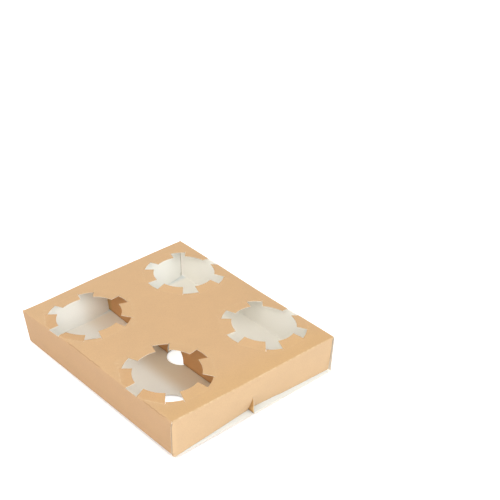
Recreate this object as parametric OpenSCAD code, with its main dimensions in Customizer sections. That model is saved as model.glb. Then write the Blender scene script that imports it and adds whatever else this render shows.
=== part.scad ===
// Cup carrier for hot drinks, folded and glued from one die-cut sheet of paperboard.
// Origin under the middle of the floor, X along the length, Z up, all sizes in millimetres.

/* [Carrier] */
// Length over the two end flaps
carrier_length = 209; // [190:1:260]
// Width over the two side walls
carrier_width = 180; // [160:1:220]
// Height from the table to the top panel
carrier_height = 36; // [26:1:60]
// Thickness of the paperboard
board = 0.5; // [0.3:0.1:0.9]
// Outside radius of every crease
crease_radius = 1.2; // [1:0.1:2]

/* [Cup holes] */
// Distance between cup centres along the length
cup_pitch_x = 109; // [96:1:120]
// Distance between cup centres across the width
cup_pitch_y = 107; // [96:1:120]
// Diameter at the bottom of the notches
notch_diameter = 75; // [66:1:86]
// Diameter of the clear circle between the tab tips
tab_tip_diameter = 57; // [46:1:62]
// Number of tabs round a cup hole
tab_count = 6; // [4:2:8]
// Angle that one notch takes from the ring of tabs
notch_angle = 22.5; // [10:0.5:36]
// How far the cuts at a tab's sides run on past the notches, up to where the tab bends
tab_cut = 2.5; // [0.5:0.5:5]
// Width of those cuts
tab_cut_width = 0.3; // [0.2:0.1:0.6]

/* [Floor] */
// Diameter of the round hole under each cup
floor_hole_diameter = 35; // [20:1:44]
// Width of the glued strip where the two floor panels lap
glue_lap = 30; // [16:1:40]
// Length over which the upper floor panel steps down off the lap
lap_step = 6; // [2:0.5:12]
// Diameter of the hole in the middle of the floor
centre_hole_diameter = 26; // [16:1:30]
// Place of that hole along the length
centre_hole_x = 4; // [-12:1:12]

/* [Partition] */
// Place of the upright partition across the width
partition_y = -5; // [-8:1:8]
// Gap between the partition and the top panel
partition_gap = 0.4; // [0.2:0.1:2]
// Width of the arch in the partition over the middle hole
arch_width = 22; // [12:1:28]
// Height of that arch above the table
arch_height = 15.5; // [15:0.5:22]

/* [End flaps] */
// How far the lock bows the middle of a flap inwards at its bottom edge
flap_bow = 7; // [2:0.5:12]
// How far the corners of that edge lie inside the end of the floor
flap_corner_inset = 1; // [0:0.5:2]
// Gap between a flap's upright edges and the side creases
flap_side_gap = 0.4; // [0.2:0.1:2]
// Gap between a flap's bottom edge and the crease of the partition
flap_floor_gap = 0.3; // [0.2:0.1:2]
// Height above the table of the top of the slit that locks over the partition
slit_height = 17.5; // [8:0.5:22]
// Gap all round the partition in that slit
lock_gap = 0.4; // [0.2:0.1:1]
// How far the partition's locking lug stays short of the end of the floor
lug_setback = 0.5; // [0:0.1:2]

/* [Hidden] */
$fn = 96;
// Cutters reach this far past the faces that they cut
past = 1;
// Flat facets along and down each half of a bowed end flap
flap_columns = 8;
flap_rows = 6;

kraft = [0.87, 0.71, 0.54];
half_length = carrier_length / 2;
half_width = carrier_width / 2;
notch_radius = notch_diameter / 2;
cup_places = [for (x = [-1, 1], y = [-1, 1]) [x * cup_pitch_x / 2, y * cup_pitch_y / 2]];
// The notches that point at the side walls run over the crease by this much
crease_bite = cup_pitch_y / 2 + notch_radius - half_width;
notch_depth = max(2 * board, crease_bite);
lap_end = partition_y + glue_lap;
crease_top = board + crease_radius;
partition_top = carrier_height - board - partition_gap;
flap_half_width = half_width - crease_radius - flap_side_gap;
flap_top = carrier_height - crease_radius;
flap_bottom = crease_top + flap_floor_gap;
arch_radius = arch_width / 2;

// Inward bow of a flap's bottom edge: most at the lock, least at the two corners
function bow_at(y) =
    let (reach = y < partition_y ? flap_half_width + partition_y : flap_half_width - partition_y)
    flap_corner_inset + (flap_bow - flap_corner_inset) * (1 - abs(y - partition_y) / reach);

// Outer face of the flap at the +X end
function flap_face(y, z) =
    half_length - bow_at(y) * pow((flap_top - z) / (flap_top - flap_bottom), 2);

// Quarter ring of board, from the X axis round to the Y axis
module crease() {
    intersection() {
        difference() {
            circle(r = crease_radius);
            circle(r = crease_radius - board);
        }
        square(crease_radius);
    }
}

// Cross-section of the glued sleeve, width along X and height along Y
module sleeve_profile() {
    turn = half_width - crease_radius;
    for (side = [0, 1]) mirror([side, 0]) {
        translate([half_width - board, crease_radius])
            square([board, carrier_height - 2 * crease_radius]);
        translate([turn, flap_top]) crease();
        translate([turn, crease_radius]) rotate(-90) crease();
    }
    translate([-turn, carrier_height - board]) square([2 * turn, board]);
    // Lower floor panel, with the glue lap at its free edge
    translate([-turn, 0]) square([turn + lap_end, board]);
    // Upper floor panel: flat on the table, a step, then flat on the lap up to the partition's crease
    translate([lap_end + lap_step, 0]) square([turn - lap_end - lap_step, board]);
    polygon([
        [lap_end, board],
        [lap_end + lap_step, 0],
        [lap_end + lap_step, board],
        [lap_end, 2 * board]
    ]);
    bend = partition_y - board / 2 + crease_radius;
    translate([bend, board]) square([lap_end - bend, board]);
    translate([bend, crease_top]) rotate(180) crease();
}

// Outline of one cup hole: the clear circle, the notches between the tabs and the cuts at the tabs' sides
module cup_hole() {
    reach = 2 * notch_radius;
    spread = reach * tan(notch_angle / 2);
    kept = spread - tab_cut_width / cos(notch_angle / 2);
    circle(d = tab_tip_diameter);
    for (k = [0 : tab_count - 1]) rotate(90 + k * 360 / tab_count)
        difference() {
            intersection() {
                circle(r = notch_radius + tab_cut);
                polygon([[0, 0], [reach, -spread], [reach, spread]]);
            }
            // Board that stays between the two cuts
            difference() {
                polygon([[tab_cut_width / sin(notch_angle / 2), 0], [reach, kept], [reach, -kept]]);
                circle(r = notch_radius);
            }
        }
}

// Top panel, side walls and floor, with their holes
module sleeve() {
    difference() {
        rotate([90, 0, 90])
            linear_extrude(carrier_length, center = true) sleeve_profile();
        for (place = cup_places) translate(place) {
            translate([0, 0, carrier_height - notch_depth])
                linear_extrude(notch_depth + past) cup_hole();
            translate([0, 0, -past])
                cylinder(d = floor_hole_diameter, h = 2 * board + 2 * past);
        }
        translate([centre_hole_x, 0, -past])
            cylinder(d = centre_hole_diameter, h = crease_top + past);
        // The end creases take the place of the top panel's ends
        for (end = [-1, 1])
            translate([end * half_length, 0, carrier_height])
                cube([2 * crease_radius, carrier_width - 2 * crease_radius, 4 * board], center = true);
    }
}

// Upright partition on the free edge of the upper floor panel, with a locking lug at each end
module partition() {
    lock = slit_height - lock_gap;
    lug_tip = half_length - lug_setback;
    lug_top = flap_face(partition_y, lock);
    behind = board + lock_gap;
    behind_top = flap_face(partition_y, partition_top) - behind;
    translate([0, partition_y, 0]) rotate([90, 0, 0])
        linear_extrude(board, center = true)
            difference() {
                for (end = [0, 1]) mirror([end, 0])
                    polygon([
                        [0, crease_top],
                        [lug_tip, crease_top],
                        [lug_top, lock],
                        [lug_top - behind, lock],
                        [min(lug_top - behind, behind_top), partition_top],
                        [0, partition_top]
                    ]);
                translate([centre_hole_x, 0]) arch();
            }
}

// Round-topped opening over the hole in the middle of the floor
module arch() {
    translate([-arch_radius, 0]) square([arch_width, arch_height - arch_radius]);
    translate([0, arch_height - arch_radius]) circle(r = arch_radius);
}

// End flap at +X: hangs from its crease, and is bowed in by the slit that locks over the partition
module end_flap() {
    slit_width = board + 2 * lock_gap;
    translate([half_length - crease_radius, 0, flap_top]) rotate([90, 0, 0])
        linear_extrude(2 * flap_half_width, center = true) crease();
    difference() {
        bowed_sheet();
        translate([half_length - 2 * flap_bow, partition_y - slit_width / 2, 0])
            cube([3 * flap_bow, slit_width, slit_height]);
    }
}

// Sheet that follows flap_face from the crease down to the flap's bottom edge
module bowed_sheet() {
    last = 2 * flap_columns;
    rows = flap_rows + 1;
    near = partition_y + flap_half_width;
    far = flap_half_width - partition_y;
    across = [for (i = [0 : last])
        i < flap_columns ? partition_y - near * (1 - i / flap_columns)
            : partition_y + far * (i - flap_columns) / flap_columns];
    up = [for (j = [0 : flap_rows]) flap_top - (flap_top - flap_bottom) * (1 - j / flap_rows)];
    outside = [for (y = across, z = up) [flap_face(y, z), y, z]];
    inside = [for (p = outside) p - [board, 0, 0]];
    under = len(outside);
    panels = [for (i = [0 : last - 1], j = [0 : flap_rows - 1])
        let (a = i * rows + j) [a, a + 1, a + rows + 1, a + rows]];
    backs = [for (p = panels) [p[3] + under, p[2] + under, p[1] + under, p[0] + under]];
    low_and_high = [for (i = [0 : last - 1], j = [0, flap_rows])
        let (a = i * rows + j, b = a + rows)
        j == 0 ? [a, b, b + under, a + under] : [b, a, a + under, b + under]];
    ends = [for (i = [0, last], j = [0 : flap_rows - 1])
        let (a = i * rows + j, b = a + 1)
        i == 0 ? [b, a, a + under, b + under] : [a, b, b + under, a + under]];
    polyhedron(concat(outside, inside), concat(panels, backs, low_and_high, ends));
}

// The whole folded sheet
module carrier() color(kraft) {
    sleeve();
    partition();
    for (end = [0, 1]) mirror([end, 0, 0]) end_flap();
}

carrier();
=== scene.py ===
"""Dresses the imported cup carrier: one folded sheet of kraft paperboard, its perforations and a studio stage."""

import math

import bpy
import numpy as np
from bpy.props import FloatProperty, FloatVectorProperty, IntProperty, PointerProperty
from mathutils import Matrix, Vector
from mathutils.geometry import delaunay_2d_cdt
from mathutils.kdtree import KDTree


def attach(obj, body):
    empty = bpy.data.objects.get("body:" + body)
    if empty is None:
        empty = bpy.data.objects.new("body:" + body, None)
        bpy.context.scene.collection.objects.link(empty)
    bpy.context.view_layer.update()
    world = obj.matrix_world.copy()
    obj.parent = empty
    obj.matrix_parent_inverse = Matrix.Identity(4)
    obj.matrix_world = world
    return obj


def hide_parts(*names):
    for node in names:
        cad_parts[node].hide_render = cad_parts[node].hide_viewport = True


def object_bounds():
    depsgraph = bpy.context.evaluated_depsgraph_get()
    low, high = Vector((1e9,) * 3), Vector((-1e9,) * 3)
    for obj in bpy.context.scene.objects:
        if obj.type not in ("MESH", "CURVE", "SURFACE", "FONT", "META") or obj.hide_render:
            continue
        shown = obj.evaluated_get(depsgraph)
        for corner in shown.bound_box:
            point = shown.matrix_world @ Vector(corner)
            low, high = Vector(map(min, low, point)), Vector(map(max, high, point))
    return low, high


bl_info = {
    "name": "Folded Cup Carrier",
    "version": (1, 0, 0),
    "blender": (4, 5, 0),
    "location": "View3D > Sidebar > Carrier",
    "description": "Folds a die-cut paperboard cup carrier, perforates it and sets up its studio stage",
    "category": "Object",
}

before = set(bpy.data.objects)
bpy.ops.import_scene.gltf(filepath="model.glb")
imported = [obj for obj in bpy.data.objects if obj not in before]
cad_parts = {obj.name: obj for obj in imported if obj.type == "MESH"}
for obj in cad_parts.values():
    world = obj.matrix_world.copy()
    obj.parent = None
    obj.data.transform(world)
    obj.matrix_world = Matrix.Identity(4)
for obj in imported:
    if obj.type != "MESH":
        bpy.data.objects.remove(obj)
cad_low, cad_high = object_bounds()
cad_size = cad_high - cad_low

SHEET_MAP = "flat_sheet"
# Scuffed fibres along the folds, partly a painted highlight on the end creases
WEAR_AND_HIGHLIGHT = "fold_wear_and_highlight"
# Crushed fibres along the front side crease, partly painted shade of its groove
CRUSH_AND_SHADE = "fold_crush_and_shade"
DEPTH = "board_depth"
# Tints of the panels and faces, much of them painted shade, painted sheen and painted light
TINT_AND_LIGHT = "panel_tint_and_painted_light"
# Cup and tab numbers of the tabs that have been bent most
WORN_TABS = ((0, 4), (0, 5), (2, 4), (2, 5))
# The tab that has been pushed down
PUSHED_TAB = (0, 5)
# Stretches of the front side crease that are crushed, in millimetres along the length
CRUSHED_SPANS = ((-36, 15), (68, 100))
# Units of the flat sheet's map to a metre
SHEET_SCALE = 10
# Distances between the points along the cup holes' edges and along the other lines
HOLE_STEP, LINE_STEP = 0.0016, 0.0022
# Where the large lights hang, in degrees round from +X and up, and how far away they are and how wide
LIGHT_PLACES = (("right_light", 0, 25), ("front_light", -60, 36), ("left_light", 180, 35))
LIGHT_REACH, LIGHT_SIZE = 3.0, 2.0
WHITE = Vector((1, 1, 1))


def length(name, description, default):
    """A length property in metres."""
    return FloatProperty(name=name, description=description, default=default, precision=5,
                         unit="LENGTH", subtype="DISTANCE")


def angle(name, description, degrees):
    """An angle property, given in degrees."""
    return FloatProperty(name=name, description=description, default=math.radians(degrees),
                         unit="ROTATION", subtype="ANGLE")


def colour(name, description, default):
    """A linear colour property."""
    return FloatVectorProperty(name=name, description=description, default=default, size=3,
                               min=0.0, max=1.0, subtype="COLOR")


def tint(name, description, default):
    """A colour that multiplies another one."""
    return FloatVectorProperty(name=name, description=description, default=default, size=3, min=0.0, soft_max=1.5)


def lengths(name, description, default):
    """Several lengths in metres."""
    return FloatVectorProperty(name=name, description=description, default=default, size=len(default),
                               precision=5, unit="LENGTH")


def bow(name, side, default):
    """The inward bow of a flap's bottom edge."""
    about = f"Inward bow of the {side} flap's bottom edge: front corner, lock, back corner and in between"
    return lengths(name, about, default)


class CarrierSizes(bpy.types.PropertyGroup):
    """Sizes of the folded sheet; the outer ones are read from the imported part."""

    carrier_length: length("Length", "Length over the two end flaps", cad_size.x)
    carrier_width: length("Width", "Width over the two side walls", cad_size.y)
    carrier_height: length("Height", "Height from the table to the top panel", cad_size.z)
    board: length("Board", "Thickness of the paperboard", 0.0005)
    crease_radius: length("Crease radius", "Outside radius of every crease", 0.0012)
    cup_pitch_x: length("Cup pitch X", "Distance between cup centres along the length", 0.109)
    cup_pitch_y: length("Cup pitch Y", "Distance between cup centres across the width", 0.107)
    notch_radius: length("Notch radius", "Radius at the bottom of the notches", 0.0375)
    tab_tip_radius: length("Tab tip radius", "Radius of the clear circle between the tab tips", 0.0285)
    notch_angle: angle("Notch angle", "Angle that one notch takes from the ring of tabs", 22.5)
    tab_cut: length("Tab cut", "How far the cuts at a tab's sides run on past the notches", 0.0025)
    tab_cut_width: length("Tab cut width", "Width of those cuts", 0.0003)
    floor_hole_radius: length("Floor hole radius", "Radius of the round hole under each cup", 0.0175)
    glue_lap: length("Glue lap", "Width of the strip where the two floor panels lap", 0.030)
    lap_step: length("Lap step", "Length over which the upper floor panel steps off the lap", 0.006)
    centre_hole_radius: length("Middle hole radius", "Radius of the hole in the middle of the floor", 0.013)
    centre_hole_x: length("Middle hole X", "Place of that hole along the length", 0.004)
    partition_y: length("Partition Y", "Place of the upright partition across the width", -0.005)
    partition_gap: length("Partition gap", "Gap between the partition and the top panel", 0.0004)
    arch_radius: length("Arch radius", "Half the width of the arch in the partition", 0.011)
    arch_height: length("Arch height", "Height of that arch above the table", 0.0155)
    flap_side_gap: length("Flap side gap", "Gap between a flap's upright edges and the side creases", 0.0004)
    flap_floor_gap: length("Flap floor gap", "Gap between a flap's bottom edge and the floor", 0.0003)
    flap_rounding: lengths("Flap rounding", "Radius of a flap's bottom corners: front and back", (0.005, 0.0012))
    slit_height: length("Slit height", "Height above the table of the slit that locks over the partition", 0.0175)
    lock_gap: length("Lock gap", "Gap all round the partition in that slit", 0.0004)
    lug_setback: length("Lug setback", "How far the partition's lug stays short of the floor's end", -0.0003)
    mesh_step: length("Mesh step", "Distance between the points of the sheet's mesh", 0.0035)


class CarrierHandling(bpy.types.PropertyGroup):
    """How folding and handling have left the sheet out of true."""

    rack: lengths("Rack", "Shift of the floor against the top panel", (0.00173, 0.00081))
    toe_in: lengths("Toe-in", "How much smaller the floor is than the top panel", (0.00234, 0.00513))
    twist: length("Twist", "Lift of two opposite corners by the twist in the carton", 0.0015)
    corner_droop: length("Corner droop", "How far the softened corner of the top panel hangs down", 0.0025)
    corner_lift: length("Corner lift", "How far the corner opposite the camera stands up", 0.0012)
    crown: length("Crown", "How far the partition pushes up the middle of the top panel", 0.0029)
    ripple: length("Ripple", "Height of the slow waves in the panels", 0.00025)
    tab_spring: angle("Tab spring", "How far the tabs spring up on average", 4.0)
    partition_bow: length("Partition bow", "How far the partition's middle leans to the front", 0.0015)
    right_bow: bow("Right bow", "right", (0.0004, 0.0067, 0.0030, -0.0004))
    left_bow: bow("Left bow", "left", (0.0035, 0.0059, 0.0036, 0.0045))
    bow_start: FloatVectorProperty(name="Bow start", description="How far down the right flap's bow sets in: at the "
                                   "corners and at the lock", default=(0.0, 0.47), size=2)
    bow_curve: FloatVectorProperty(name="Bow curve", description="How late the bow sets in below that: right flap "
                                   "and left flap", default=(1.3, 0.4), size=2)
    flap_shift: lengths("Flap shift", "How far the flaps' edges have slipped to the front: right front, right back, "
                        "left back", (0.0021, 0.0008, 0.0007))
    flap_lap: length("Flap lap", "How far the right flap's front edge stands out over the wall", 0.00055)
    crease_crush: length("Crease crush", "Depth of the crushed stretches of the front side crease", 0.0004)


class CarrierFinish(bpy.types.PropertyGroup):
    """Colours of the board, linear, and tints, several of which carry painted shade, painted sheen and painted light.
    """

    kraft: colour("Kraft", "Outer face of the board", (0.479, 0.302, 0.153))
    kraft_dark: colour("Kraft fibres", "Dark fibres in the outer face", (0.29, 0.16, 0.068))
    # Pale kraft for scuffed fibres, for the painted highlight along the folds and for the dashes' burr
    kraft_pale: colour("Kraft wear", "Rubbed fibres along the folds", (0.57, 0.41, 0.25))
    liner: colour("Liner", "White inner face of the board", (0.905, 0.87, 0.79))
    cut_edge: colour("Cut edge", "Raw edge of the board", (0.66, 0.55, 0.41))
    # Painted sheen: the right flap is paler and bluer, as where it reflects the white floor
    right_flap_painted_sheen: tint("Right flap", "How the right end flap differs from the top panel", (1.0, 1.09, 1.24))
    # Painted shade: the front wall is a little darker than the top panel
    front_wall_painted_shade: tint("Front wall", "How the front side wall differs from the top panel", (0.98, 0.955, 0.99))
    partition: tint("Partition", "How the partition differs from the top panel", (1.15, 0.90, 0.70))
    # Painted shade: the partition's lugs are darker, as in the shade of the bowed flap
    lug: tint("Lug", "How the partition's lugs differ from the top panel", (0.94, 0.84, 0.60))
    bent_tab_tone: tint("Worn tabs", "How the tabs that were bent most differ from the top panel", (0.96, 0.91, 0.84))
    # Painted shadow: a dark strip along the side walls' ends, in the gap behind the flaps
    wall_end_painted_shade: tint("Wall end", "How the side walls' ends differ from the walls", (0.74, 0.76, 0.80))
    # Painted shade on the left flap's inner face, which the right light strikes
    left_inside_painted_shade: tint("Left inside", "How the left flap's inner face differs from the liner", (0.91, 0.945, 0.98))
    # Painted shade: the liner of the floor outside the flaps is darker and cooler
    lip_painted_shade: tint("Lip", "How the floor outside the flaps differs from the liner", (0.765, 0.845, 0.925))
    floor_end: tint("Floor end", "How the floor's cut ends differ from the other cut edges", (1.3, 1.55, 2.0))
    # Painted shade, orange from the kraft partition's bounce, on the liner in front of the partition
    warm_painted_shade: tint("Warm", "How the liner in front of the partition differs from the rest", (0.82, 0.70, 0.56))


class CarrierPerforation(bpy.types.PropertyGroup):
    """The punched lines on the top panel."""

    dash: length("Dash", "Length of one punched dash", 0.0019)
    pitch: length("Pitch", "Distance from one dash to the next", 0.0034)
    width: length("Width", "Width of a dash", 0.0004)
    proud: length("Proud", "How far a dash's burr stands over the board", 0.00004)
    seed: IntProperty(name="Seed", description="Seed of the small differences between dashes", default=7)


class CarrierStage(bpy.types.PropertyGroup):
    """Camera, lights and floor."""

    camera_place: lengths("Camera", "Where the camera stands", (0.543320, -0.439536, 0.511846))
    camera_right: FloatVectorProperty(name="Camera right", description="Direction to the right of the picture",
                                      size=3, default=(0.67948, 0.73289, 0.03421), precision=5)
    camera_down: FloatVectorProperty(name="Camera down", description="Direction down the picture",
                                     size=3, default=(0.38589, -0.31734, -0.86625), precision=5)
    lens: FloatProperty(name="Lens", description="Focal length for a 36 mm wide picture", default=69.4548,
                        unit="CAMERA")
    floor_tone: colour("Floor", "Colour of the floor", (0.92, 0.92, 0.92))
    floor_seen: colour("Floor seen", "Colour of the floor straight to the camera", (1.0, 1.0, 1.0))
    sky: FloatProperty(name="Sky", description="Strength of the even light from all round", default=0.87)
    lights: FloatVectorProperty(name="Lights", description="Power of the large lights: right, front and left", size=3,
                                default=(60.0, 41.0, 33.0), unit="POWER")


def smooth(t):
    """Soft step from 0 to 1."""
    t = min(max(t, 0.0), 1.0)
    return t * t * (3.0 - 2.0 * t)


class FlatSheet:
    """The die-cut sheet laid flat, with u along the length and s round the sleeve from the middle of the top.

    It gives the lines that cut and crease the sheet, and where each point goes once it is folded.
    """

    def __init__(self, sizes, handling):
        self.sizes = sizes
        self.handling = handling
        self.half_length = sizes.carrier_length / 2
        self.half_width = sizes.carrier_width / 2
        self.height = sizes.carrier_height
        self.board = sizes.board
        self.radius = sizes.crease_radius
        self.quarter = self.radius * math.pi / 2
        self.turn = self.half_width - self.radius
        self.hinge = self.half_length - self.radius
        self.flap_side = self.turn - sizes.flap_side_gap
        self.flap_top = self.height - self.radius
        self.crease_top = self.board + self.radius
        self.flap_low = self.board + sizes.flap_floor_gap
        self.partition_top = self.height - self.board - sizes.partition_gap
        self.lap_end = sizes.partition_y + sizes.glue_lap
        self.bend_y = sizes.partition_y - self.board / 2 + self.radius
        # Stations round the sleeve; the lower floor panel has the same ones on the other side
        self.wall_top = self.turn + self.quarter
        self.wall_foot = self.wall_top + self.height - 2 * self.radius
        self.floor_edge = self.wall_foot + self.quarter
        self.lower_end = self.floor_edge + self.turn + self.lap_end
        self.step_start = self.floor_edge + self.turn - self.lap_end - sizes.lap_step
        self.step_end = self.step_start + math.hypot(sizes.lap_step, self.board)
        self.bend_start = self.step_end + self.lap_end - self.bend_y
        self.upright = self.bend_start + self.quarter
        self.upright_end = self.upright + self.partition_top - self.crease_top
        self.flap_end = self.hinge + self.quarter + self.flap_top - self.flap_low
        self.notch_end = self.turn + self.radius * math.radians(78)
        self.strip = 0.0012
        self.tab_fold = (sizes.notch_radius + sizes.tab_cut) * math.cos(math.pi / 6 - sizes.notch_angle / 2)
        self.cups = [(x * sizes.cup_pitch_x / 2, y * sizes.cup_pitch_y / 2) for x in (-1, 1) for y in (-1, 1)]

    # Cut and crease lines

    def lock_share(self, y):
        """How near a point across a flap lies to its lock: 1 at the lock, 0 at the corners."""
        middle = self.sizes.partition_y
        reach = self.flap_side + (middle if y < middle else -middle)
        return 1 - abs(y - middle) / reach

    def flap_foot(self, y):
        """Height of a flap's bottom edge: one board higher where the floor panels lap."""
        if y < self.sizes.partition_y:
            return self.flap_low
        return self.flap_low + self.board * smooth((self.lap_end + self.sizes.lap_step - y) / self.sizes.lap_step)

    def flap_face(self, side, y, drop):
        """Distance of a flap's outer face from the middle of the carrier, drop of the way down."""
        handling = self.handling
        front, lock, back, between = handling.right_bow if side > 0 else handling.left_bow
        share = self.lock_share(y)
        reach = lock * share + (front if y < self.sizes.partition_y else back) * (1 - share)
        reach += 4 * between * share * (1 - share)
        corner, middle = handling.bow_start if side > 0 else (0.0, 0.0)
        start = corner + (middle - corner) * share ** 2
        curve = handling.bow_curve[0 if side > 0 else 1]
        return self.half_length - reach * max((drop - start) / (1 - start), 0.0) ** curve

    def end_edge(self, side):
        """Edge of the sheet at one end, from the lower floor panel to the partition."""
        sizes = self.sizes
        lock = sizes.slit_height - sizes.lock_gap
        lug_tip = self.half_length - sizes.lug_setback
        lug_top = self.flap_face(side, sizes.partition_y, (self.flap_top - lock) / (self.flap_top - self.flap_low))
        lug_back = lug_top - self.board - sizes.lock_gap
        lug_row = self.upright + lock - self.crease_top
        slit = self.flap_end - (sizes.slit_height - self.flap_low)
        slit_low = sizes.partition_y - self.board / 2 - sizes.lock_gap
        slit_high = sizes.partition_y + self.board / 2 + sizes.lock_gap
        front, back = [[(self.flap_end - r + r * math.sin(a), self.flap_side - r + r * math.cos(a))
                        for a in np.linspace(0, math.pi / 2, 6)] for r in sizes.flap_rounding]
        return [
            (self.half_length, -self.lower_end),
            (self.half_length, -self.turn), (self.hinge, -self.turn), (self.hinge, -self.flap_side),
            *[(u, -s) for u, s in front], (self.flap_end, slit_low), (slit, slit_low),
            (slit, slit_high), (self.flap_end, slit_high), *reversed(back),
            (self.hinge, self.flap_side), (self.hinge, self.turn), (self.half_length, self.turn),
            (self.half_length, self.upright), (lug_tip, self.upright), (lug_top, lug_row),
            (lug_back, lug_row), (lug_back, self.upright_end),
        ]

    def outline(self):
        """Outer edge of the sheet, counter-clockwise."""
        return self.end_edge(1) + [(-u, s) for u, s in reversed(self.end_edge(-1))]

    def cup_hole(self, cx, cy):
        """Edge of one cup hole: tab tips, notches and the cuts at the tabs' sides."""
        sizes = self.sizes
        half = sizes.notch_angle / 2
        tip, notch, deep = sizes.tab_tip_radius, sizes.notch_radius, sizes.notch_radius + sizes.tab_cut
        points = []

        def polar(r, a, aside=0.0):
            points.append((cx + r * math.cos(a) - aside * math.sin(a), cy + r * math.sin(a) + aside * math.cos(a)))

        for k in range(6):
            a = math.radians(30 + 60 * k)
            if abs(math.cos(a)) < 0.1 and math.sin(a) * cy > 0:
                # This notch ends on the side crease
                reach = (self.notch_end - abs(cy)) / math.cos(half)
                polar(tip, a - half)
                polar(reach, a - half)
                polar(reach, a + half)
                polar(tip, a + half)
            else:
                polar(tip, a - half)
                polar(deep, a - half)
                polar(deep, a - half, sizes.tab_cut_width)
                polar(notch, a - half, sizes.tab_cut_width)
                inset = half - sizes.tab_cut_width / notch
                for j in range(1, 8):
                    polar(notch, a - inset + 2 * inset * j / 8)
                polar(notch, a + half, -sizes.tab_cut_width)
                polar(deep, a + half, -sizes.tab_cut_width)
                polar(deep, a + half)
                polar(tip, a + half)
            tab = math.pi / 3 - sizes.notch_angle
            for j in range(1, 16):
                polar(tip, a + half + tab * j / 16)
        return points

    def floor_holes(self):
        """Edges of the holes in the two floor panels, and the arch that joins the middle one."""
        sizes = self.sizes
        lower = -(self.floor_edge + self.turn)
        rings = []
        for cx, cy in self.cups:
            s = lower - cy if cy < 0 else self.floor_edge + self.turn - cy
            rings.append([(cx + sizes.floor_hole_radius * math.cos(a), s + sizes.floor_hole_radius * math.sin(a))
                          for a in np.linspace(0, 2 * math.pi, 72, endpoint=False)])
        mid, r = sizes.centre_hole_x, sizes.centre_hole_radius
        rings.append([(mid + r * math.cos(a), lower + r * math.sin(a))
                      for a in np.linspace(0, 2 * math.pi, 56, endpoint=False)])
        # In the upper panel the same hole runs on into the arch of the partition
        start = self.step_end + self.lap_end
        side = [(math.sqrt(max(r * r - y * y, 0.0)), start - y) for y in np.linspace(r, self.bend_y, 24)]
        side.append((sizes.arch_radius, self.upright))
        spring = sizes.arch_height - sizes.arch_radius
        crown = self.upright + spring - self.crease_top
        side += [(sizes.arch_radius * math.cos(a), crown + sizes.arch_radius * math.sin(a))
                 for a in np.linspace(0, math.pi / 2, 18)]
        rings.append([(mid + w, s) for w, s in side] + [(mid - w, s) for w, s in reversed(side[1:-1])])
        return rings

    def creases(self):
        """Rows of points on and beside every crease."""
        rows = []
        beside = 0.0008
        quarters = [k / 4 for k in range(5)]
        for side in (-1, 1):
            for start in (self.turn, self.wall_foot):
                stations = [start - beside] + [start + q * self.quarter for q in quarters]
                for s in stations + [start + self.quarter + beside]:
                    reach = self.hinge if s < self.turn else self.half_length
                    rows.append([(-reach, side * s), (reach, side * s)])
            columns = [self.hinge - beside] + [self.hinge + q * self.quarter for q in quarters]
            for u in columns + [self.hinge + self.quarter + beside]:
                rows.append([(side * u, -self.flap_side), (side * u, self.flap_side)])
            # Narrow strips along the ends of the walls and the back edges of the flaps
            for u in (-self.half_length + self.strip, self.half_length - self.strip):
                rows.append([(u, side * (self.wall_top + beside)), (u, side * (self.wall_foot - beside))])
            for edge in (1.5 * self.strip - self.flap_side, 0.8 * self.strip - self.flap_side,
                         self.flap_side - 1.5 * self.strip):
                rows.append([(side * u, edge) for u in (self.hinge + self.quarter + beside, self.flap_end - 0.0055)])
        for s in (self.step_start, self.step_end, self.bend_start - beside):
            rows.append([(-self.half_length, s), (self.half_length, s)])
        for q in quarters:
            s = self.bend_start + q * self.quarter
            rows.append([(-self.half_length, s), (self.half_length, s)])
        return rows

    def tab_folds(self, aside=0.0):
        """The line that each tab bends on, cut short at the side creases: pairs of points."""
        sizes = self.sizes
        folds = []
        for cx, cy in self.cups:
            for k in range(6):
                a = math.radians(60 * k)
                along, across = Vector((math.cos(a), math.sin(a))), Vector((-math.sin(a), math.cos(a)))
                fold = self.tab_fold + aside
                half = fold * math.tan(math.pi / 6 - sizes.notch_angle / 2)
                ends = []
                for t in (-half, half):
                    p = Vector((cx, cy)) + along * fold + across * t
                    limit = self.turn - 0.0006
                    if abs(p.y) > limit:
                        t += (math.copysign(limit, p.y) - p.y) / across.y
                        p = Vector((cx, cy)) + along * fold + across * t
                    ends.append(p)
                folds.append((tuple(ends[0]), tuple(ends[1])))
        return folds

    # Folding

    def section(self, s, depth):
        """Where a point of the sleeve lies across the width and in height."""
        sizes = self.sizes
        side = 1 if s >= 0 else -1
        a = abs(s)
        r = self.radius - depth
        if a <= self.turn:
            return s, self.height - depth
        if a <= self.wall_top:
            t = (a - self.turn) / self.radius
            return side * (self.turn + r * math.sin(t)), self.flap_top + r * math.cos(t)
        if a <= self.wall_foot:
            return side * (self.half_width - depth), self.flap_top - (a - self.wall_top)
        if a <= self.floor_edge:
            t = (a - self.wall_foot) / self.radius
            return side * (self.turn + r * math.cos(t)), self.radius - r * math.sin(t)
        if side < 0 or a <= self.step_start:
            return side * (self.turn - (a - self.floor_edge)), depth
        if a <= self.step_end:
            t = (a - self.step_start) / (self.step_end - self.step_start)
            return self.lap_end + sizes.lap_step * (1 - t), self.board * t + depth
        if a <= self.bend_start:
            return self.lap_end - (a - self.step_end), self.board + depth
        if a <= self.upright:
            t = (a - self.bend_start) / self.radius
            return self.bend_y - r * math.sin(t), self.crease_top - r * math.cos(t)
        return sizes.partition_y - self.board / 2 + depth, self.crease_top + a - self.upright

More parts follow.
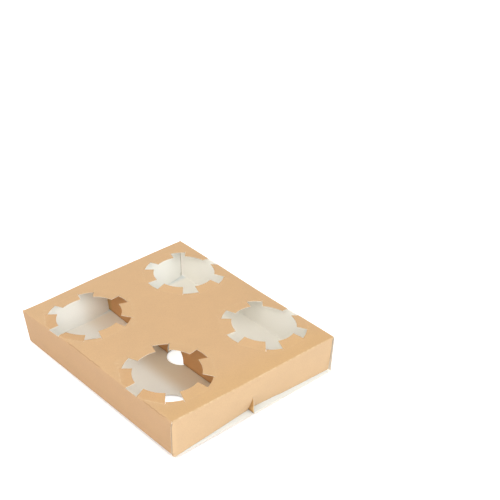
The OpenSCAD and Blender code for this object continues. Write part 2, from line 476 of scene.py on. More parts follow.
    def folded(self, u, s, depth):
        """Place of a point of the sheet, depth below its kraft face, before handling has racked the carton."""
        side = 1 if u >= 0 else -1
        past = abs(u) - self.hinge
        if past <= 0 or abs(s) > self.flap_side + 1e-7:
            y, z = self.section(s, depth)
            return Vector((u, y, z))
        r = self.radius - depth
        if past <= self.quarter:
            t = past / self.radius
            return Vector((side * (self.hinge + r * math.sin(t)), s, self.flap_top + r * math.cos(t)))
        drop = (past - self.quarter) / (self.flap_end - self.hinge - self.quarter)
        z = self.flap_top - (self.flap_top - self.flap_foot(s)) * drop
        return Vector((side * (self.flap_face(side, s, drop) - depth), s, z))

    # Handling

    def tab_at(self, u, s):
        """The tab at a point of the top panel: cup, tab, how far inside its fold, and whether on the tab itself."""
        half = math.pi / 6 - self.sizes.notch_angle / 2 + 1e-4
        for n, (cx, cy) in enumerate(self.cups):
            x, y = u - cx, s - cy
            if math.hypot(x, y) > self.sizes.notch_radius + 0.006 or abs(s) > self.turn:
                continue
            k = round(math.atan2(y, x) / (math.pi / 3)) % 6
            along, across = math.cos(k * math.pi / 3), math.sin(k * math.pi / 3)
            inside = self.tab_fold - (x * along + y * across)
            aside = math.atan2(abs(y * along - x * across), x * along + y * across)
            return n, k, inside, inside > 0 and aside <= half
        return None

    def tab_lift(self, u, s):
        """How far the sprung tabs take a point of the top panel up; one tab has been pushed down."""
        tab = self.tab_at(u, s)
        if tab is None or not tab[3]:
            return 0.0
        n, k, inside, _on = tab
        share = -1.75 if (n, k) == PUSHED_TAB else 1 + 0.8 * math.sin(12.9 * n + 7.7 * k)
        ease = smooth((self.turn - abs(s)) / 0.006)
        return inside * math.tan(self.handling.tab_spring * share) * ease

    def crushed(self, u, s):
        """How hard the front side crease is crushed at a point, from 0 to 1."""
        across = 1 - abs(-s - self.turn - 0.45 * self.quarter) / (0.9 * self.quarter)
        if across <= 0:
            return 0.0
        mm = u * 1000
        span = 0.0
        for low, high in CRUSHED_SPANS:
            span = max(span, min(smooth((mm - low) / 5), smooth((high - mm) / 5)))
        return span * smooth(1.6 * across)

    def flap_slack(self, u, s):
        """How far a flap has slipped at a point, out and to the front, and how freely it hangs from the walls."""
        past = abs(u) - self.hinge - 0.3 * self.quarter
        if past <= 0 or abs(s) > self.flap_side + 1e-7:
            return 0.0, 0.0, 0.0
        right_front, right_back, left_back = self.handling.flap_shift
        hang = smooth(past / 0.004) * (1 - self.lock_share(s))
        before = s < self.sizes.partition_y
        if u < 0:
            return 0.0, 0.0 if before else -left_back * hang, 0.0
        out = self.handling.flap_lap * hang * smooth((-s - 0.070) / 0.015)
        return out, -(right_front if before else right_back) * hang, hang

    def settled(self, u, s, depth):
        """Place of a point after handling: crowned, racked, twisted, rippled and softened."""
        handling = self.handling
        p = self.folded(u, s, depth)
        slip_x, slip_y, hang = self.flap_slack(u, s)
        p.x += slip_x
        p.y += slip_y
        p.z += self.tab_lift(u, s)
        crush = self.crushed(u, s) * handling.crease_crush
        p += Vector((0, crush, -crush)) * (0.5 + 0.5 * math.sin(620 * u + 2 * math.sin(230 * u)))
        if s > self.step_end:
            loose = smooth((s - self.step_end) / (self.bend_start - self.step_end))
            held = min(abs(p.x) / (self.half_length - 0.011), 1.0)
            p.y -= handling.partition_bow * loose * (1 - held ** 4)
        level = p.z / self.height
        fx, fy = p.x / self.half_length, p.y / self.half_width
        wave = math.sin(31 * p.x + 0.7) * math.sin(27 * p.y + 1.9) + 0.6 * math.sin(53 * p.x + 38 * p.y)
        near = smooth(1 - (1 + fx) / 0.8) * smooth(1 - (1 + fy) / 1.0)
        far = smooth(1 - (1 + fx) / 0.9) * smooth(1 - (1 - fy) / 0.9)
        rise = max(1 - fx ** 4, 0.0) * max(1 - fy ** 4, 0.0) * (1 + 0.2 * fy)
        p.z *= 1 - handling.corner_droop / self.height * near
        p.z += (handling.ripple * wave + handling.crown * rise + handling.corner_lift * far) * level
        p.x += handling.rack[0] * (0.5 - level) - handling.toe_in[0] / 2 * fx * (1 - level)
        p.y += handling.rack[1] * (0.5 - level) - handling.toe_in[1] / 2 * fy * (1 - level) * (1 - hang)
        p.z += handling.twist * (1 - fx * fy)
        return p


def sampled(points, step, closed):
    """A polyline with points put in so that none lies further than step from the next."""
    out = []
    count = len(points) if closed else len(points) - 1
    for i in range(count):
        a, b = Vector(points[i]), Vector(points[(i + 1) % len(points)])
        parts = max(1, math.ceil((b - a).length / step))
        out += [tuple(a.lerp(b, j / parts)) for j in range(parts)]
    if not closed:
        out.append(tuple(points[-1]))
    return out


def triangles_inside(loops, lines, step):
    """Triangles of the region that the loops bound by the even-odd rule, with the lines as edges."""
    points, edges = [], []

    def add(path, closed):
        first = len(points)
        points.extend(path)
        last = len(points)
        edges.extend((i, i + 1) for i in range(first, last - 1))
        if closed:
            edges.append((last - 1, first))

    for loop in loops:
        add(loop, True)
    for line in lines:
        add(line, False)
    tree = KDTree(len(points))
    for i, p in enumerate(points):
        tree.insert((*p, 0), i)
    tree.balance()
    low, high = np.min(points, axis=0), np.max(points, axis=0)
    rows = int((high[1] - low[1]) / (step * 0.866)) + 1
    for j in range(rows):
        y = low[1] + j * step * 0.866
        for i in range(int((high[0] - low[0]) / step) + 1):
            p = (low[0] + (i + 0.5 * (j % 2)) * step, y)
            if tree.find((*p, 0))[2] > 0.45 * step:
                points.append(p)
    flat = delaunay_2d_cdt([Vector(p) for p in points], edges, [], 0, 1e-7, False)
    corners = np.array([tuple(p) for p in flat[0]])
    faces = np.array(flat[2])
    middle = corners[faces].mean(axis=1)
    inside = np.zeros(len(faces), bool)
    for loop in loops:
        a = np.array(loop)
        b = np.roll(a, -1, axis=0)
        for (x0, y0), (x1, y1) in zip(a, b):
            if y0 == y1:
                continue
            crosses = (middle[:, 1] > y0) != (middle[:, 1] > y1)
            at = x0 + (middle[:, 1] - y0) * (x1 - x0) / (y1 - y0)
            inside ^= crosses & (middle[:, 0] < at)
    faces = faces[inside]
    used, index = np.unique(faces, return_inverse=True)
    return corners[used], index.reshape(-1, 3)


# Node helpers

def put(tree, kind, place, inputs=(), **values):
    """Adds a node, sets its own values, then the sockets named or numbered in inputs."""
    node = tree.nodes.new(kind)
    node.location = place
    for name, value in values.items():
        setattr(node, name, value)
    for name, value in dict(inputs).items():
        node.inputs[name].default_value = value
    return node


def join(tree, *pairs):
    """Links pairs of sockets."""
    for source, target in pairs:
        tree.links.new(source, target)


def maths(tree, operation, place, a, b=None, c=None, clamp=False):
    """A Math node; a, b and c are sockets or numbers."""
    node = put(tree, "ShaderNodeMath", place, operation=operation, use_clamp=clamp)
    for n, value in enumerate((a, b, c)):
        if value is None:
            continue
        if isinstance(value, (int, float)):
            node.inputs[n].default_value = value
        else:
            tree.links.new(value, node.inputs[n])
    return node.outputs[0]


def blended(tree, place, factor, a, b, blend="MIX"):
    """A colour mix; each of the three is a socket or a value."""
    node = put(tree, "ShaderNodeMix", place, data_type="RGBA", blend_type=blend)
    for socket, value in ((node.inputs["Factor"], factor), (node.inputs[6], a), (node.inputs[7], b)):
        if isinstance(value, bpy.types.NodeSocket):
            tree.links.new(value, socket)
        else:
            socket.default_value = value
    return node.outputs[2]


def board_fibres():
    """Shader group of paper fibres on the flat sheet: tone, flecks and height."""
    name = "board_fibres"
    if name in bpy.data.node_groups:
        return bpy.data.node_groups[name]
    tree = bpy.data.node_groups.new(name, "ShaderNodeTree")
    face = tree.interface
    face.new_socket("Sheet", in_out="INPUT", socket_type="NodeSocketVector")
    for label, default in (("Cloud", 0.5), ("Fibre", 0.5), ("Grit", 0.5), ("Fleck Share", 0.2)):
        face.new_socket(label, in_out="INPUT", socket_type="NodeSocketFloat").default_value = default
    for label in ("Tone", "Fleck", "Height"):
        face.new_socket(label, in_out="OUTPUT", socket_type="NodeSocketFloat")
    start = put(tree, "NodeGroupInput", (-1100, 0))
    end = put(tree, "NodeGroupOutput", (900, 0))
    cloud = put(tree, "ShaderNodeTexNoise", (-600, 300), {"Scale": 5.0, "Detail": 4.0, "Roughness": 0.6})
    along = put(tree, "ShaderNodeMapping", (-850, 50), {"Scale": (0.22, 1.0, 1.0), "Rotation": (0, 0, 0.06)})
    fibre = put(tree, "ShaderNodeTexNoise", (-600, 50), {"Scale": 170.0, "Detail": 3.0, "Roughness": 0.7})
    grit = put(tree, "ShaderNodeTexNoise", (-600, -200), {"Scale": 110.0, "Detail": 2.0, "Roughness": 0.8})
    thin = put(tree, "ShaderNodeMapping", (-850, -450), {"Scale": (0.45, 1.0, 1.0), "Rotation": (0, 0, 0.5)})
    spots = put(tree, "ShaderNodeTexVoronoi", (-600, -450), {"Scale": 42.0, "Randomness": 1.0})
    join(tree, (start.outputs["Sheet"], cloud.inputs["Vector"]), (start.outputs["Sheet"], along.inputs["Vector"]),
         (along.outputs[0], fibre.inputs["Vector"]), (start.outputs["Sheet"], grit.inputs["Vector"]),
         (start.outputs["Sheet"], thin.inputs["Vector"]), (thin.outputs[0], spots.inputs["Vector"]))
    parts = []
    for n, (texture, weight) in enumerate(((cloud, "Cloud"), (fibre, "Fibre"), (grit, "Grit"))):
        centred = maths(tree, "SUBTRACT", (-350, 300 - 220 * n), texture.outputs[0], 0.5)
        parts.append(maths(tree, "MULTIPLY", (-150, 300 - 220 * n), centred, start.outputs[weight]))
    tone = maths(tree, "ADD", (50, 250), maths(tree, "ADD", (-20, 150), parts[0], parts[1]), parts[2])
    apart = put(tree, "ShaderNodeSeparateColor", (-350, -500))
    join(tree, (spots.outputs["Color"], apart.inputs[0]))
    chosen = maths(tree, "LESS_THAN", (-150, -500), apart.outputs[0], start.outputs["Fleck Share"])
    core = put(tree, "ShaderNodeMapRange", (-350, -700),
               {"From Min": 0.05, "From Max": 0.16, "To Min": 1.0, "To Max": 0.0}, interpolation_type="SMOOTHSTEP")
    join(tree, (spots.outputs["Distance"], core.inputs["Value"]))
    fleck = maths(tree, "MULTIPLY", (50, -550), core.outputs[0], chosen)
    height = maths(tree, "ADD", (250, -200), fibre.outputs[0], grit.outputs[0])
    join(tree, (tone, end.inputs["Tone"]), (fleck, end.inputs["Fleck"]), (height, end.inputs["Height"]))
    return tree


def paper(name, inputs):
    """A material with the fibre group on the flat sheet: the material, its tree, shader and group."""
    material = bpy.data.materials.new(name)
    material.use_nodes = True
    tree = material.node_tree
    tree.nodes.clear()
    out = put(tree, "ShaderNodeOutputMaterial", (1100, 0))
    shader = put(tree, "ShaderNodeBsdfPrincipled", (800, 0))
    sheet = put(tree, "ShaderNodeUVMap", (-900, 0), uv_map=SHEET_MAP)
    fibres = put(tree, "ShaderNodeGroup", (-650, 0), node_tree=board_fibres())
    for key, value in inputs.items():
        fibres.inputs[key].default_value = value
    bump = put(tree, "ShaderNodeBump", (550, -350), {"Distance": 0.00006})
    join(tree, (sheet.outputs[0], fibres.inputs["Sheet"]), (fibres.outputs["Height"], bump.inputs["Height"]),
         (bump.outputs[0], shader.inputs["Normal"]), (shader.outputs[0], out.inputs[0]))
    return material, tree, shader, fibres, bump


def towards(panel, share):
    """White, moved a share of the way to a tint."""
    return WHITE.lerp(Vector(panel), share)


def opaque(rgb, factor=1.0):
    """A colour with alpha, times a factor."""
    return (rgb[0] * factor, rgb[1] * factor, rgb[2] * factor, 1.0)


def toned(tree, fibres, low, high):
    """A colour between two, by the tone of the fibres."""
    level = maths(tree, "ADD", (-400, 100), fibres.outputs["Tone"], 0.5, clamp=True)
    return blended(tree, (-150, 150), level, low, high)


def tinted(tree, place, surface):
    """A surface colour times its panel's tint, which carries painted shade, painted sheen and painted light."""
    panel = put(tree, "ShaderNodeAttribute", (place[0] - 170, -200), attribute_name=TINT_AND_LIGHT)
    return blended(tree, place, 1.0, surface, panel.outputs["Color"], "MULTIPLY")


def kraft_face(finish, crushed_line):
    """Uncoated kraft: fibre streaks, flecks, pale folds of scuffed fibres and painted highlight, and a dark wandering
    line of crushed fibres and painted shade where one is crushed.
    """
    material, tree, shader, fibres, bump = paper(
        "kraft_face", {"Cloud": 0.55, "Fibre": 1.05, "Grit": 0.85, "Fleck Share": 0.24})
    sheet = fibres.inputs["Sheet"].links[0].from_socket
    wear_and_highlight = put(tree, "ShaderNodeAttribute", (-650, -300), attribute_name=WEAR_AND_HIGHLIGHT)
    crush = put(tree, "ShaderNodeAttribute", (-650, -500), attribute_name=CRUSH_AND_SHADE)
    place = put(tree, "ShaderNodeSeparateXYZ", (-650, -700))
    wander = put(tree, "ShaderNodeTexNoise", (-400, -700), {"Scale": 14.0, "Detail": 2.0}, noise_dimensions="1D")
    base = toned(tree, fibres, opaque(finish.kraft, 0.86), opaque(finish.kraft, 1.10))
    speck = maths(tree, "MULTIPLY", (-400, -100), fibres.outputs["Fleck"], 0.35)
    specked = blended(tree, (50, 100), speck, base, opaque(finish.kraft_dark))
    patch = put(tree, "ShaderNodeTexNoise", (-650, -900), {"Scale": 34.0, "Detail": 2.0})
    blotch = put(tree, "ShaderNodeMapRange", (-500, -400),
                 {"From Min": 0.38, "From Max": 0.62, "To Min": 0.25, "To Max": 1.2}, interpolation_type="SMOOTHSTEP")
    # Scuffing and painted highlight along the folds, broken into blotches
    rough_wear_and_highlight = maths(tree, "MULTIPLY", (-400, -300), wear_and_highlight.outputs["Fac"], blotch.outputs[0], clamp=True)
    rubbed_and_highlit = blended(tree, (250, 50), rough_wear_and_highlight, specked, opaque(finish.kraft_pale))
    line = maths(tree, "MULTIPLY_ADD", (-200, -700), wander.outputs[0], 0.014, crushed_line - 0.007)
    aside = maths(tree, "ABSOLUTE", (0, -700), maths(tree, "SUBTRACT", (-100, -700), place.outputs["Y"], line))
    thin = put(tree, "ShaderNodeMapRange", (150, -700),
               {"From Min": 0.0015, "From Max": 0.006, "To Min": 0.6, "To Max": 0.0}, interpolation_type="SMOOTHSTEP")
    # Dark line of crushed fibres and painted shade along the crushed crease
    crushed_and_shaded = maths(tree, "MULTIPLY", (300, -500), crush.outputs["Fac"], thin.outputs[0])
    creased = blended(tree, (450, 0), crushed_and_shaded, rubbed_and_highlit, opaque(finish.kraft_dark))
    done = tinted(tree, (620, 0), creased)
    gloss = maths(tree, "MULTIPLY_ADD", (300, -200), fibres.outputs["Tone"], 0.25, 0.66)
    bump.inputs["Strength"].default_value = 0.35
    shader.inputs["Specular IOR Level"].default_value = 0.32
    join(tree, (done, shader.inputs["Base Color"]), (gloss, shader.inputs["Roughness"]),
         (sheet, place.inputs[0]), (place.outputs["X"], wander.inputs["W"]), (aside, thin.inputs["Value"]),
         (sheet, patch.inputs["Vector"]), (patch.outputs[0], blotch.inputs["Value"]))
    return material


def white_liner(finish):
    """White inner face: faint cloud and grit."""
    material, tree, shader, fibres, bump = paper(
        "white_liner", {"Cloud": 0.35, "Fibre": 0.35, "Grit": 0.35, "Fleck Share": 0.05})
    base = toned(tree, fibres, opaque(finish.liner, 0.95), opaque(finish.liner, 1.04))
    speck = maths(tree, "MULTIPLY", (-400, -100), fibres.outputs["Fleck"], 0.18)
    specked = blended(tree, (50, 100), speck, base, opaque(finish.kraft))
    done = tinted(tree, (300, 50), specked)
    bump.inputs["Strength"].default_value = 0.2
    shader.inputs["Roughness"].default_value = 0.6
    shader.inputs["Specular IOR Level"].default_value = 0.35
    join(tree, (done, shader.inputs["Base Color"]))
    return material


def raw_edge(finish):
    """Cut edge: plies that run through the board's thickness, brown outside and white inside."""
    material, tree, shader, fibres, bump = paper(
        "raw_edge", {"Cloud": 0.4, "Fibre": 0.9, "Grit": 0.9, "Fleck Share": 0.1})
    depth = put(tree, "ShaderNodeAttribute", (-650, -300), attribute_name=DEPTH)
    plies = put(tree, "ShaderNodeValToRGB", (-400, -300))
    ramp = plies.color_ramp
    ramp.elements[0].color = opaque(finish.kraft)
    ramp.elements[1].color = opaque(finish.liner)
    ramp.elements.new(0.3).color = opaque(finish.cut_edge)
    ramp.elements.new(0.75).color = opaque(finish.cut_edge, 1.08)
    shade = toned(tree, fibres, opaque((0.80, 0.78, 0.75)), opaque(WHITE))
    mix = blended(tree, (200, 0), 1.0, plies.outputs[0], shade, "MULTIPLY")
    done = tinted(tree, (400, 0), mix)
    bump.inputs["Strength"].default_value = 0.5
    shader.inputs["Roughness"].default_value = 0.9
    shader.inputs["Specular IOR Level"].default_value = 0.2
    join(tree, (depth.outputs["Fac"], plies.inputs[0]), (done, shader.inputs["Base Color"]))
    return material


def punched_slit(finish):
    """Burr of a punched dash: paler, broken fibres."""
    material = bpy.data.materials.new("punched_slit")
    material.use_nodes = True
    tree = material.node_tree
    shader = tree.nodes["Principled BSDF"]
    where = put(tree, "ShaderNodeTexCoord", (-700, 0))
    fray = put(tree, "ShaderNodeTexNoise", (-500, 0), {"Scale": 900.0, "Detail": 2.0})
    burr = blended(tree, (-250, 0), fray.outputs[0], opaque(finish.kraft, 0.9), opaque(finish.kraft_pale, 1.2))
    shader.inputs["Roughness"].default_value = 0.9
    shader.inputs["Specular IOR Level"].default_value = 0.2
    join(tree, (where.outputs["Object"], fray.inputs["Vector"]), (burr, shader.inputs["Base Color"]))
    return material


def added(scene, name, data):
    """An object for a mesh, lamp or camera, linked to the scene."""
    thing = bpy.data.objects.new(name, data)
    scene.collection.objects.link(thing)
    return thing


class CARRIER_OT_fold_sheet(bpy.types.Operator):
    """Cut, crease and fold the paperboard sheet"""

    bl_idname = "carrier.fold_sheet"
    bl_label = "Fold Sheet"

    def execute(self, context):
        scene = context.scene
        sizes, finish = scene.carrier_sizes, scene.carrier_finish
        flat = FlatSheet(sizes, scene.carrier_handling)
        step = sizes.mesh_step
        loops = [sampled(flat.outline(), step * 0.8, True)]
        loops += [sampled(flat.cup_hole(*cup), HOLE_STEP, True) for cup in flat.cups]
        loops += [sampled(ring, LINE_STEP, True) for ring in flat.floor_holes()]
        lines = [sampled(row, LINE_STEP, False) for row in flat.creases()]
        for aside in (-0.0006, 0.0, 0.0006):
            lines += [sampled(fold, LINE_STEP, False) for fold in flat.tab_folds(aside)]
        corners, faces = triangles_inside(loops, lines, step)
        count = len(corners)
        points = [flat.settled(u, s, depth) for depth in (0.0, flat.board) for u, s in corners]
        edges = {}
        for face in faces:
            for i in range(3):
                edges[(face[i], face[(i + 1) % 3])] = True
        rim = [(a, a + count, b + count, b) for a, b in edges if (b, a) not in edges]
        polygons = [tuple(f) for f in faces] + [(f[2] + count, f[1] + count, f[0] + count) for f in faces]
        polygons += rim
        mesh = bpy.data.meshes.new("carrier_sheet")
        mesh.from_pydata([tuple(p) for p in points], [], [tuple(int(i) for i in f) for f in polygons])
        mesh.update()
        mesh.materials.append(kraft_face(finish, -SHEET_SCALE * (flat.turn + 0.45 * flat.quarter)))
        mesh.materials.append(white_liner(finish))
        mesh.materials.append(raw_edge(finish))
        kinds = [0] * len(faces) + [1] * len(faces) + [2] * len(rim)
        mesh.polygons.foreach_set("material_index", kinds)
        layer = mesh.uv_layers.new(name=SHEET_MAP)
        both = np.concatenate([corners, corners + 0.0007]) * SHEET_SCALE
        at = np.zeros(len(mesh.loops), np.int32)
        mesh.loops.foreach_get("vertex_index", at)
        layer.data.foreach_set("uv", both[at].astype(np.float32).ravel())
        wear_and_highlight = [self.wear_and_highlight_at(flat, u, s) for u, s in corners] * 2
        crush = [flat.crushed(u, s) for u, s in corners] * 2
        depths = [0.0] * count + [1.0] * count
        for name, values in ((WEAR_AND_HIGHLIGHT, wear_and_highlight), (CRUSH_AND_SHADE, crush), (DEPTH, depths)):
            mesh.attributes.new(name, "FLOAT", "POINT").data.foreach_set("value", values)
        tints = [self.tint_at(flat, finish, u, s) for u, s in corners]
        tints += [self.liner_tint_at(flat, finish, u, s) for u, s in corners]
        tints = np.array(tints, np.float32).ravel()
        mesh.attributes.new(TINT_AND_LIGHT, "FLOAT_COLOR", "POINT").data.foreach_set("color", tints)
        mesh.shade_smooth()
        mesh.set_sharp_from_angle(angle=math.radians(38))
        piece = added(scene, "carrier_sheet", mesh)
        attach(piece, "root")
        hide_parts("carrier")
        return {"FINISHED"}

    @staticmethod
    def wear_and_highlight_at(flat, u, s):
        """How scuffed the board is, with painted highlight on the creases: most on the end creases, a little on the
        others and where the tabs bend.
        """
        a = abs(s)
        near = 0.0
        for start, share in ((flat.turn, 0.3 if s > 0 else 0.1), (flat.wall_foot, 0.2)):
            near = max(near, share * (1 - abs(a - start - flat.quarter / 2) / (0.75 * flat.quarter)))
        if a <= flat.flap_side:
            share = 0.7 + 0.3 * smooth((-s - 0.02) / 0.06)
            near = max(near, share * (1 - abs(abs(u) - flat.hinge - 0.4 * flat.quarter) / (0.45 * flat.quarter)))
        tab = flat.tab_at(u, s)
        if tab is not None:
            near = max(near, (0.4 if tab[:2] in WORN_TABS else 0.15) * (1 - abs(tab[2]) / 0.0008))
        return max(near, 0.0)

    @staticmethod
    def tint_at(flat, finish, u, s):
        """How a panel's tint differs from the top panel's, much of it painted shade, painted sheen and painted light.
        """
        hinge = (u - flat.hinge) / flat.quarter if abs(s) <= flat.flap_side + 1e-7 else 0.0
        foot = (s - flat.bend_start) / flat.quarter
        wall = smooth((-s - flat.turn) / flat.quarter)
        shade = WHITE.copy()
        # Painted sheen on the right flap, painted shade on the front wall and on the lugs, and the partition's tint
        for share, panel in ((smooth(hinge), finish.right_flap_painted_sheen), (wall, finish.front_wall_painted_shade),
                             (smooth(foot), finish.partition),
                             (smooth(foot) * smooth((abs(u) - 0.092) / 0.004), finish.lug)):
            shade = shade.lerp(Vector(panel), share)
        # Painted shadow line along the side walls' ends
        if flat.wall_top < abs(s) < flat.wall_foot:
            shade *= towards(finish.wall_end_painted_shade, smooth((abs(u) - flat.half_length) / flat.strip + 1))
        if abs(s) > flat.floor_edge and abs(u) > flat.half_length - 1e-6:
            shade *= Vector(finish.floor_end)
        if abs(s) < flat.turn:
            # The top panel is yellower towards the right fold, and the flap below it a little paler at its foot:
            # painted shade at the flap's top and painted light at its foot, against the shading of its inward bow
            shade *= towards((1.0, 0.985, 0.9), smooth((u - 0.07) / 0.03) * smooth(1 - hinge))
            if hinge > 0:
                shade *= 0.965 + 0.065 * (u - flat.hinge) / (flat.flap_end - flat.hinge)
        # The tabs bent most are darker and more orange
        tab = flat.tab_at(u, s)
        if tab is not None and tab[3] and tab[:2] in WORN_TABS:
            shade *= towards(finish.bent_tab_tone, smooth(tab[2] / 0.001))
        if hinge > 1 and s < 0:
            # The right flap's front edge carries a painted shadow line of the gap at the wall, with a paler strip
            # beside it
            inwards = (s + flat.flap_side) / flat.strip
            shade *= 1 - 0.55 * smooth(1 - inwards / 0.8) + 0.07 * smooth(1 - abs(inwards - 1.5) / 0.7)
        # The rounded end crease has a little painted shade that dulls its highlight, and the foot of the partition
        # painted shade from the wedge under its crease
        shade *= 1 - 0.02 * smooth(1.3 - 2 * abs(hinge - 0.45)) - 0.45 * smooth(1.6 - 2 * abs(foot - 0.4))
        return (*shade, 1.0)

    @staticmethod
    def liner_tint_at(flat, finish, u, s):
        """How the tint of the white inner face differs from panel to panel: painted shade in front of the partition,
        on the left flap, along its back edge, at the side walls' right ends and on the floor outside the flaps.
        """
        shade = WHITE.copy()
        flap = abs(s) <= flat.flap_side + 1e-7 and abs(u) > flat.hinge
        before = flat.sizes.partition_y - (s if flap else flat.section(s, 0.0)[0])
        parts = []
        # Painted shade, orange from the partition's bounce, on the liner in front of the partition
        if flap or s < -flat.floor_edge:
            reach = smooth(2 - before / 0.018) * (before > 0) * (0.55 + 0.45 * smooth((u + 0.05) / 0.08))
            parts.append((reach * (0.6 if flap else smooth((0.098 - abs(u)) / 0.004)), finish.warm_painted_shade))
        # Painted shade on the left flap's inner face
        if flap and u < 0:
            parts.append((1.0, finish.left_inside_painted_shade))
            # Painted shadow line along the left flap's back edge, in the gap at the wall
            parts.append((smooth((s - flat.flap_side) / flat.strip / 1.5 + 1), (0.55, 0.52, 0.48)))
        # Painted shade on the side walls' inner faces at their right ends
        if flat.wall_top < abs(s) < flat.wall_foot:
            parts.append((smooth((u - 0.096) / 0.003), (0.60, 0.57, 0.53)))
        # Painted shade on the floor's liner outside the flaps
        if abs(s) > flat.floor_edge and abs(u) > 0.09:
            parts.append((smooth((abs(u) - 0.094) / 0.004), finish.lip_painted_shade))
        for share, panel in parts:
            shade *= towards(panel, share)
        return (*shade, 1.0)


class CARRIER_OT_punch_lines(bpy.types.Operator):
    """Punch the dashed lines of the top panel"""

    bl_idname = "carrier.punch_lines"
    bl_label = "Punch Lines"

    def execute(self, context):
        scene = context.scene
        flat = FlatSheet(scene.carrier_sizes, scene.carrier_handling)
        punch = scene.carrier_perforation
        reach = flat.turn - 0.001
        paths = [((0.0, -reach), (0.0, reach))] + flat.tab_folds()
        points, edges = [], []
        for a, b in paths:
            row = sampled((a, b), 0.0025, False)
            edges += [(len(points) + i, len(points) + i + 1) for i in range(len(row) - 1)]
            points += [flat.settled(u, s, 0.0) for u, s in row]
        guide = bpy.data.meshes.new("punch_guide")
        guide.from_pydata([tuple(p) for p in points], edges, [])
        carrier = added(scene, "punch_guide", guide)
        tree = self.dashes(punched_slit(scene.carrier_finish))
        modifier = carrier.modifiers.new("dashes", "NODES")
        modifier.node_group = tree
        values = {"Dash": punch.dash, "Pitch": punch.pitch, "Width": punch.width, "Proud": punch.proud,
                  "Seed": punch.seed}
        for item in tree.interface.items_tree:
            if item.in_out == "INPUT" and item.name in values:
                modifier[item.identifier] = values[item.name]
        context.view_layer.update()
        ready = carrier.evaluated_get(context.evaluated_depsgraph_get())
        mesh = bpy.data.meshes.new_from_object(ready)
        mesh.name = "punched_lines"
        carrier.modifiers.remove(modifier)
        bpy.data.objects.remove(carrier)
        piece = added(scene, "punched_lines", mesh)
        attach(piece, "root")
        return {"FINISHED"}

    @staticmethod
    def dashes(material):
        """Node tree that lays dashes of one size along the guide's lines."""
        tree = bpy.data.node_groups.new("punched_dashes", "GeometryNodeTree")
        face = tree.interface
        face.new_socket("Geometry", in_out="INPUT", socket_type="NodeSocketGeometry")
        for label in ("Dash", "Pitch", "Width", "Proud"):
            face.new_socket(label, in_out="INPUT", socket_type="NodeSocketFloat")
        face.new_socket("Seed", in_out="INPUT", socket_type="NodeSocketInt")
        face.new_socket("Geometry", in_out="OUTPUT", socket_type="NodeSocketGeometry")
        start = put(tree, "NodeGroupInput", (-900, 0))
        end = put(tree, "NodeGroupOutput", (900, 0))
        line = put(tree, "GeometryNodeMeshToCurve", (-700, 200))
        level = put(tree, "GeometryNodeSetCurveNormal", (-500, 200), mode="Z_UP")
        spots = put(tree, "GeometryNodeCurveToPoints", (-300, 200), mode="LENGTH")
        lens = put(tree, "GeometryNodeMeshCylinder", (-500, -200),
                   {"Vertices": 6, "Radius": 0.5, "Depth": 1.0}, fill_type="NGON")
        size = put(tree, "ShaderNodeCombineXYZ", (-500, -450))
        shaped = put(tree, "GeometryNodeTransform", (-250, -200))
        vary = put(tree, "FunctionNodeRandomValue", (-250, -500), {2: 0.8, 3: 1.1}, data_type="FLOAT")
        stretch = put(tree, "ShaderNodeCombineXYZ", (-50, -500), {"X": 1.0, "Z": 1.0})
        lay = put(tree, "GeometryNodeInstanceOnPoints", (100, 100))
        whole = put(tree, "GeometryNodeRealizeInstances", (350, 100))
        paint = put(tree, "GeometryNodeSetMaterial", (600, 100), {"Material": material})
        thick = maths(tree, "MULTIPLY", (-700, -500), start.outputs["Proud"], 2.0)
        join(tree, (start.outputs["Geometry"], line.inputs[0]), (line.outputs[0], level.inputs[0]),
             (level.outputs[0], spots.inputs["Curve"]), (start.outputs["Pitch"], spots.inputs["Length"]),
             (start.outputs["Width"], size.inputs["Y"]), (thick, size.inputs["Z"]))
        join(tree, (start.outputs["Dash"], size.inputs["X"]), (lens.outputs["Mesh"], shaped.inputs["Geometry"]),
             (size.outputs[0], shaped.inputs["Scale"]), (start.outputs["Seed"], vary.inputs["Seed"]),
             (vary.outputs[1], stretch.inputs["X"]), (spots.outputs["Points"], lay.inputs["Points"]),
             (shaped.outputs[0], lay.inputs["Instance"]), (spots.outputs["Rotation"], lay.inputs["Rotation"]),
             (stretch.outputs[0], lay.inputs["Scale"]), (lay.outputs[0], whole.inputs[0]),
             (whole.outputs[0], paint.inputs["Geometry"]), (paint.outputs[0], end.inputs[0]))
        return tree


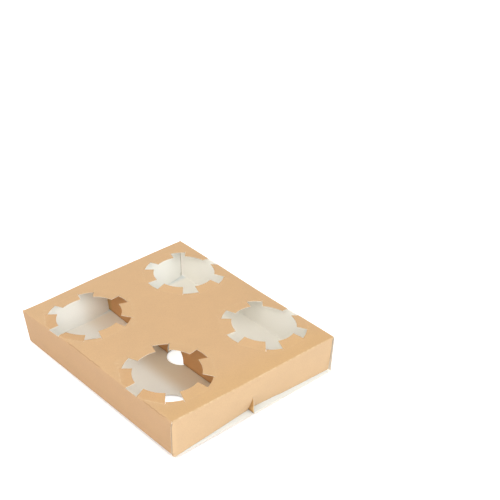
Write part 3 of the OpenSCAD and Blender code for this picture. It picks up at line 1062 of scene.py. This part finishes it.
class CARRIER_OT_set_stage(bpy.types.Operator):
    """Put up the floor, the lights and the camera"""

    bl_idname = "carrier.set_stage"
    bl_label = "Set Stage"

    def execute(self, context):
        scene = context.scene
        stage = scene.carrier_stage
        self.lay_floor(scene, stage)
        self.hang_lights(scene, stage)
        eye = bpy.data.cameras.new("photo_camera")
        eye.lens = stage.lens
        eye.sensor_width = 36.0
        eye.clip_start = 0.01
        camera = added(scene, "photo_camera", eye)
        right, down = Vector(stage.camera_right).normalized(), Vector(stage.camera_down).normalized()
        back = right.cross(-down).normalized()
        turn = Matrix((right, back.cross(right), back)).transposed()
        camera.matrix_world = Matrix.Translation(stage.camera_place) @ turn.to_4x4()
        scene.camera = camera
        scene.view_settings.view_transform = "Standard"
        return {"FINISHED"}

    @staticmethod
    def lay_floor(scene, stage):
        """A wide pale floor; for camera rays it glows with painted light under the carrier, so that it shows white
        through the holes, and a little everywhere.
        """
        reach = 20.0
        mesh = bpy.data.meshes.new("studio_floor")
        mesh.from_pydata([(-reach, -reach, 0), (reach, -reach, 0), (reach, reach, 0), (-reach, reach, 0)], [],
                         [(0, 1, 2, 3)])
        material = bpy.data.materials.new("studio_floor")
        material.use_nodes = True
        tree = material.node_tree
        shader = tree.nodes["Principled BSDF"]
        seen = put(tree, "ShaderNodeLightPath", (-900, -200))
        where = put(tree, "ShaderNodeTexCoord", (-900, -500))
        apart = put(tree, "ShaderNodeSeparateXYZ", (-700, -500))
        # Painted light: for camera rays the floor glows where it lies under the carrier
        under = seen.outputs["Is Camera Ray"]
        for n, (axis, half) in enumerate((("X", cad_size.x / 2), ("Y", cad_size.y / 2))):
            across = maths(tree, "ABSOLUTE", (-500, -400 - 200 * n), apart.outputs[axis])
            within = maths(tree, "LESS_THAN", (-350, -400 - 200 * n), across, 0.9 * half)
            under = maths(tree, "MULTIPLY", (-200, -300 - 200 * n), under, within)
        lift = maths(tree, "MULTIPLY", (0, -300), under, 0.5)
        lift = maths(tree, "MULTIPLY_ADD", (200, -300), seen.outputs["Is Camera Ray"], 0.1, lift)
        tone = blended(tree, (-400, 0), seen.outputs["Is Camera Ray"], opaque(stage.floor_tone),
                       opaque(stage.floor_seen))
        shader.inputs["Roughness"].default_value = 0.9
        shader.inputs["Specular IOR Level"].default_value = 0.1
        shader.inputs["Emission Color"].default_value = (1, 1, 1, 1)
        join(tree, (where.outputs["Object"], apart.inputs[0]), (tone, shader.inputs["Base Color"]),
             (lift, shader.inputs["Emission Strength"]))
        mesh.materials.append(material)
        floor = added(scene, "studio_floor", mesh)

    @staticmethod
    def hang_lights(scene, stage):
        """Even light all round, and three large lights that stand low on the right, in front and on the left."""
        world = bpy.data.worlds.new("studio_sky")
        world.use_nodes = True
        sky = world.node_tree.nodes["Background"]
        sky.inputs["Color"].default_value = (1, 1, 1, 1)
        sky.inputs["Strength"].default_value = stage.sky
        scene.world = world
        for (name, around, up), power in zip(LIGHT_PLACES, stage.lights):
            around, up = math.radians(around), math.radians(up)
            lamp = bpy.data.lights.new(name, "AREA")
            lamp.shape = "SQUARE"
            lamp.size = LIGHT_SIZE
            lamp.energy = power
            light = added(scene, name, lamp)
            level = LIGHT_REACH * math.cos(up)
            light.location = (level * math.cos(around), level * math.sin(around), LIGHT_REACH * math.sin(up))
            light.rotation_euler = light.location.to_track_quat("Z", "Y").to_euler()
            light.visible_camera = False


class CARRIER_PT_sheet(bpy.types.Panel):
    """Sizes and steps of the carrier"""

    bl_idname = "CARRIER_PT_sheet"
    bl_label = "Cup Carrier"
    bl_space_type = "VIEW_3D"
    bl_region_type = "UI"
    bl_category = "Carrier"

    def draw(self, context):
        layout = self.layout
        for operator in (CARRIER_OT_fold_sheet, CARRIER_OT_punch_lines, CARRIER_OT_set_stage):
            layout.operator(operator.bl_idname)
        for title, group in GROUPS.items():
            box = layout.box()
            box.label(text=title)
            settings = getattr(context.scene, group[0])
            for field in group[1].__annotations__:
                box.prop(settings, field)


GROUPS = {
    "Sizes": ("carrier_sizes", CarrierSizes),
    "Handling": ("carrier_handling", CarrierHandling),
    "Finish": ("carrier_finish", CarrierFinish),
    "Perforation": ("carrier_perforation", CarrierPerforation),
    "Stage": ("carrier_stage", CarrierStage),
}
CLASSES = [group[1] for group in GROUPS.values()]
CLASSES += [CARRIER_OT_fold_sheet, CARRIER_OT_punch_lines, CARRIER_OT_set_stage, CARRIER_PT_sheet]


def register():
    for item in CLASSES:
        bpy.utils.register_class(item)
    for field, kind in GROUPS.values():
        setattr(bpy.types.Scene, field, PointerProperty(type=kind))


def unregister():
    for field, kind in GROUPS.values():
        delattr(bpy.types.Scene, field)
    for item in reversed(CLASSES):
        bpy.utils.unregister_class(item)


def main():
    register()
    bpy.ops.carrier.fold_sheet()
    bpy.ops.carrier.punch_lines()
    bpy.ops.carrier.set_stage()


if __name__ == "__main__":
    main()
